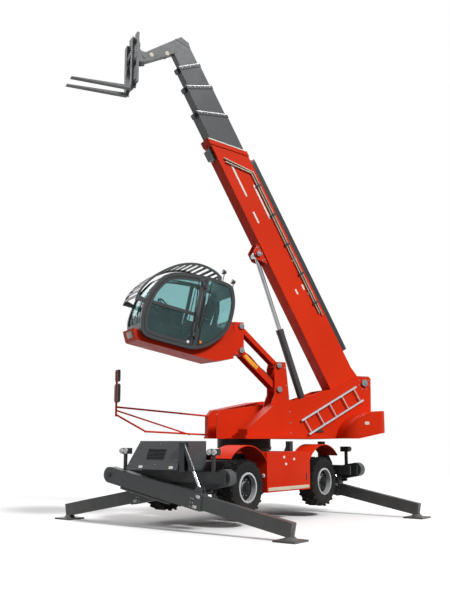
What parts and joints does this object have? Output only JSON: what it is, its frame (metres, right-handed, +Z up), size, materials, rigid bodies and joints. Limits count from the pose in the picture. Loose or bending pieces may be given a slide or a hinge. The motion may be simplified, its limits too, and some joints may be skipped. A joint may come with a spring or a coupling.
{
  "type": "rotating telehandler",
  "caption": "Rotating telehandler with a raised telescopic boom and forks, an elevating cab on a parallel arm, and crossed stabiliser legs holding its wheels off the ground.",
  "frame": {"origin": "middle of the whole machine's outline, on the ground under the stabiliser feet", "axes": "+X forward along the chassis, +Y to the machine's left, +Z up"},
  "size_m": [7.5657, 6.67, 11.442],
  "materials": {
    "black_frame": "satin",
    "red_paint": "gloss",
    "hood_shell": "gloss",
    "grey_shell": "satin",
    "boom_paint": "gloss",
    "inner_boom": "satin",
    "head_paint": "satin",
    "fork_steel": "satin",
    "pipe": "satin",
    "rod_chrome": "polished",
    "ram_black": "gloss",
    "cab_paint": "satin",
    "cab_glazing": "clear",
    "seat_trim": "grained",
    "cab_trim": "grained",
    "leg_paint": "satin",
    "rim_paint": "satin",
    "tyre_rubber": "matt",
    "ladder_alu": "brushed"
  },
  "bodies": {
    "chassis": {"chassis_frame": "black_frame", "bodywork": "red_paint", "nose_cover": "grey_shell", "lamp_pods": "black_frame"},
    "turret": {"turret_frame": "red_paint", "counterweight": "red_paint", "engine_hood": "hood_shell", "ladder": "ladder_alu", "mirror_frame": "red_paint", "arm_tower": "red_paint"},
    "boom": {"boom_outer": "boom_paint", "boom_tray": "black_frame", "boom_pipes": "pipe"},
    "stage_1": {"boom_stage_1": "inner_boom"},
    "stage_2": {"boom_stage_2": "inner_boom"},
    "stage_3": {"boom_stage_3": "inner_boom"},
    "stage_4": {"boom_stage_4": "head_paint"},
    "hitch": {"fork_hitch": "head_paint"},
    "carriage": {"fork_carriage": "fork_steel"},
    "lift_rod": {"lift_rod": "rod_chrome"},
    "lift_barrel": {"lift_barrel": "ram_black"},
    "lower_link": {"cab_lower_link": "red_paint"},
    "upper_link": {"cab_upper_link": "red_paint"},
    "carrier": {"cab_carrier": "red_paint"},
    "cab": {"cab_tub": "red_paint", "cab_frame": "cab_paint", "cab_glass": "cab_glazing", "cab_seat": "seat_trim", "cab_console": "cab_trim", "roof_guard": "cab_paint"},
    "door": {"cab_door": "cab_paint", "door_glass": "cab_glazing"},
    "box_fl": {"leg_box_fl": "leg_paint"},
    "beam_fl": {"leg_beam_fl": "leg_paint"},
    "barrel_fl": {"leg_barrel_fl": "ram_black"},
    "rod_fl": {"leg_rod_fl": "rod_chrome"},
    "knuckle_fl": {"knuckle_fl": "black_frame"},
    "wheel_fl": {"rim_fl": "rim_paint", "tyre_fl": "tyre_rubber"},
    "box_fr": {"leg_box_fr": "leg_paint"},
    "beam_fr": {"leg_beam_fr": "leg_paint"},
    "barrel_fr": {"leg_barrel_fr": "ram_black"},
    "rod_fr": {"leg_rod_fr": "rod_chrome"},
    "knuckle_fr": {"knuckle_fr": "black_frame"},
    "wheel_fr": {"rim_fr": "rim_paint", "tyre_fr": "tyre_rubber"},
    "box_rl": {"leg_box_rl": "leg_paint"},
    "beam_rl": {"leg_beam_rl": "leg_paint"},
    "barrel_rl": {"leg_barrel_rl": "ram_black"},
    "rod_rl": {"leg_rod_rl": "rod_chrome"},
    "knuckle_rl": {"knuckle_rl": "black_frame"},
    "wheel_rl": {"rim_rl": "rim_paint", "tyre_rl": "tyre_rubber"},
    "box_rr": {"leg_box_rr": "leg_paint"},
    "beam_rr": {"leg_beam_rr": "leg_paint"},
    "barrel_rr": {"leg_barrel_rr": "ram_black"},
    "rod_rr": {"leg_rod_rr": "rod_chrome"},
    "knuckle_rr": {"knuckle_rr": "black_frame"},
    "wheel_rr": {"rim_rr": "rim_paint", "tyre_rr": "tyre_rubber"}
  },
  "joints": [
    {"name": "turret_slew", "type": "hinge", "parent": "chassis", "child": "turret", "pos_m": [-0.23, 0, 1.6], "axis": [0, 0, 1], "continuous": true},
    {"name": "boom_lift", "type": "hinge", "parent": "turret", "child": "boom", "pos_m": [-3.05543, 1.50231, 3.16], "axis": [-0.4695, -0.8829, 0], "range_deg": [-63, 19]},
    {"name": "boom_extend_1", "type": "slide", "parent": "boom", "child": "stage_1", "axis": [0.4281, -0.2276, 0.8746], "range_m": [-0.3, 5.2]},
    {"name": "boom_extend_2", "type": "slide", "parent": "stage_1", "child": "stage_2", "axis": [0.4281, -0.2276, 0.8746], "range_m": [-0.3, 5.2]},
    {"name": "boom_extend_3", "type": "slide", "parent": "stage_2", "child": "stage_3", "axis": [0.4281, -0.2276, 0.8746], "range_m": [-0.3, 5.2]},
    {"name": "boom_extend_4", "type": "slide", "parent": "stage_3", "child": "stage_4", "axis": [0.4281, -0.2276, 0.8746], "range_m": [-0.3, 5.2]},
    {"name": "fork_level", "type": "hinge", "parent": "stage_4", "child": "hitch", "pos_m": [2.1095, -1.24394, 10.72218], "axis": [-0.4695, -0.8829, 0], "range_deg": [-19, 63]},
    {"name": "fork_tilt", "type": "hinge", "parent": "hitch", "child": "carriage", "pos_m": [2.26402, -1.32609, 10.90218], "axis": [0.4695, 0.8829, 0], "range_deg": [-20, 20]},
    {"name": "lift_rod_swing", "type": "hinge", "parent": "boom", "child": "lift_rod", "pos_m": [-0.52637, 0.15758, 6.20286], "axis": [-0.4695, -0.8829, 0], "range_deg": [-10, 4]},
    {"name": "lift_barrel_slide", "type": "slide", "parent": "lift_rod", "child": "lift_barrel", "axis": [0.2954, -0.1571, 0.9424], "range_m": [-0.6, 1.85]},
    {"name": "cab_lift", "type": "hinge", "parent": "turret", "child": "lower_link", "pos_m": [-0.39862, 0.7692, 2.91], "axis": [-0.4695, -0.8829, 0], "range_deg": [-74, 8]},
    {"name": "cab_upper_swing", "type": "hinge", "parent": "turret", "child": "upper_link", "pos_m": [-0.39862, 0.7692, 3.46], "axis": [-0.4695, -0.8829, 0], "range_deg": [-74, 8]},
    {"name": "cab_carrier_level", "type": "hinge", "parent": "lower_link", "child": "carrier", "pos_m": [0.43995, 0.32332, 3.76515], "axis": [-0.4695, -0.8829, 0], "range_deg": [-8, 74]},
    {"name": "cab_tilt", "type": "hinge", "parent": "carrier", "child": "cab", "pos_m": [0.65186, 0.21065, 3.75015], "axis": [-0.4695, -0.8829, 0], "range_deg": [-12, 8]},
    {"name": "cab_door", "type": "hinge", "parent": "cab", "child": "door", "pos_m": [1.83083, 0.34713, 4.46897], "axis": [-0.1836, 0.0976, 0.9781], "range_deg": [0, 95]},
    {"name": "leg_swing_fl", "type": "hinge", "parent": "chassis", "child": "box_fl", "pos_m": [2.62, -1.4, 1.045], "axis": [-1, 0, 0], "range_deg": [-5, 0]},
    {"name": "leg_extend_fl", "type": "slide", "parent": "box_fl", "child": "beam_fl", "axis": [0, 0.9832, -0.1824], "range_m": [-1.9, 0]},
    {"name": "leg_barrel_swing_fl", "type": "hinge", "parent": "chassis", "child": "barrel_fl", "pos_m": [2.62, 0.5995, 1.66744], "axis": [-1, 0, 0], "range_deg": [-12, 0.5]},
    {"name": "leg_rod_slide_fl", "type": "slide", "parent": "barrel_fl", "child": "rod_fl", "axis": [0, 0.4531, -0.8914], "range_m": [-0.22, 0.01]},
    {"name": "leg_swing_fr", "type": "hinge", "parent": "chassis", "child": "box_fr", "pos_m": [2.27, 1.4, 1.045], "axis": [1, 0, 0], "range_deg": [-5, 0]},
    {"name": "leg_extend_fr", "type": "slide", "parent": "box_fr", "child": "beam_fr", "axis": [0, -0.9832, -0.1824], "range_m": [-1.9, 0]},
    {"name": "leg_barrel_swing_fr", "type": "hinge", "parent": "chassis", "child": "barrel_fr", "pos_m": [2.27, -0.5995, 1.66744], "axis": [1, 0, 0], "range_deg": [-12, 0.5]},
    {"name": "leg_rod_slide_fr", "type": "slide", "parent": "barrel_fr", "child": "rod_fr", "axis": [0, -0.4531, -0.8914], "range_m": [-0.22, 0.01]},
    {"name": "leg_swing_rl", "type": "hinge", "parent": "chassis", "child": "box_rl", "pos_m": [-2.73, -1.4, 1.045], "axis": [-1, 0, 0], "range_deg": [-5, 0]},
    {"name": "leg_extend_rl", "type": "slide", "parent": "box_rl", "child": "beam_rl", "axis": [0, 0.9832, -0.1824], "range_m": [-1.9, 0]},
    {"name": "leg_barrel_swing_rl", "type": "hinge", "parent": "chassis", "child": "barrel_rl", "pos_m": [-2.73, 0.5995, 1.66744], "axis": [-1, 0, 0], "range_deg": [-12, 0.5]},
    {"name": "leg_rod_slide_rl", "type": "slide", "parent": "barrel_rl", "child": "rod_rl", "axis": [0, 0.4531, -0.8914], "range_m": [-0.22, 0.01]},
    {"name": "leg_swing_rr", "type": "hinge", "parent": "chassis", "child": "box_rr", "pos_m": [-3.08, 1.4, 1.045], "axis": [1, 0, 0], "range_deg": [-5, 0]},
    {"name": "leg_extend_rr", "type": "slide", "parent": "box_rr", "child": "beam_rr", "axis": [0, -0.9832, -0.1824], "range_m": [-1.9, 0]},
    {"name": "leg_barrel_swing_rr", "type": "hinge", "parent": "chassis", "child": "barrel_rr", "pos_m": [-3.08, -0.5995, 1.66744], "axis": [1, 0, 0], "range_deg": [-12, 0.5]},
    {"name": "leg_rod_slide_rr", "type": "slide", "parent": "barrel_rr", "child": "rod_rr", "axis": [0, -0.4531, -0.8914], "range_m": [-0.22, 0.01]},
    {"name": "steer_fl", "type": "hinge", "parent": "chassis", "child": "knuckle_fl", "pos_m": [1.315, 0.93, 0.805], "axis": [0, 0, 1], "range_deg": [-30, 30]},
    {"name": "wheel_fl", "type": "hinge", "parent": "knuckle_fl", "child": "wheel_fl", "pos_m": [1.315, 1.022, 0.805], "axis": [0, 1, 0], "continuous": true},
    {"name": "steer_fr", "type": "hinge", "parent": "chassis", "child": "knuckle_fr", "pos_m": [1.315, -0.93, 0.805], "axis": [0, 0, 1], "range_deg": [-30, 30]},
    {"name": "wheel_fr", "type": "hinge", "parent": "knuckle_fr", "child": "wheel_fr", "pos_m": [1.315, -1.022, 0.805], "axis": [0, 1, 0], "continuous": true},
    {"name": "steer_rl", "type": "hinge", "parent": "chassis", "child": "knuckle_rl", "pos_m": [-1.775, 0.93, 0.805], "axis": [0, 0, 1], "range_deg": [-30, 30]},
    {"name": "wheel_rl", "type": "hinge", "parent": "knuckle_rl", "child": "wheel_rl", "pos_m": [-1.775, 1.022, 0.805], "axis": [0, 1, 0], "continuous": true},
    {"name": "steer_rr", "type": "hinge", "parent": "chassis", "child": "knuckle_rr", "pos_m": [-1.775, -0.93, 0.805], "axis": [0, 0, 1], "range_deg": [-30, 30]},
    {"name": "wheel_rr", "type": "hinge", "parent": "knuckle_rr", "child": "wheel_rr", "pos_m": [-1.775, -1.022, 0.805], "axis": [0, 1, 0], "continuous": true}
  ],
  "couplings": [
    {"joint": "boom_extend_2", "follows": "boom_extend_1", "ratio": 1},
    {"joint": "boom_extend_3", "follows": "boom_extend_1", "ratio": 1},
    {"joint": "boom_extend_4", "follows": "boom_extend_1", "ratio": 1},
    {"joint": "fork_level", "follows": "boom_lift", "ratio": -1},
    {"joint": "lift_rod_swing", "follows": "boom_lift", "ratio": 0.13938},
    {"joint": "lift_barrel_slide", "follows": "boom_lift", "m_per_rad": -1.6229},
    {"joint": "cab_upper_swing", "follows": "cab_lift", "ratio": 1},
    {"joint": "cab_carrier_level", "follows": "cab_lift", "ratio": -1},
    {"joint": "leg_barrel_swing_fl", "follows": "leg_swing_fl", "ratio": 1.5749},
    {"joint": "leg_rod_slide_fl", "follows": "leg_swing_fl", "m_per_rad": 2.0355},
    {"joint": "leg_barrel_swing_fr", "follows": "leg_swing_fr", "ratio": 1.5749},
    {"joint": "leg_rod_slide_fr", "follows": "leg_swing_fr", "m_per_rad": 2.0355},
    {"joint": "leg_barrel_swing_rl", "follows": "leg_swing_rl", "ratio": 1.5749},
    {"joint": "leg_rod_slide_rl", "follows": "leg_swing_rl", "m_per_rad": 2.0355},
    {"joint": "leg_barrel_swing_rr", "follows": "leg_swing_rr", "ratio": 1.5749},
    {"joint": "leg_rod_slide_rr", "follows": "leg_swing_rr", "m_per_rad": 2.0355},
    {"joint": "steer_fr", "follows": "steer_fl", "ratio": 1},
    {"joint": "steer_rr", "follows": "steer_rl", "ratio": 1}
  ]
}
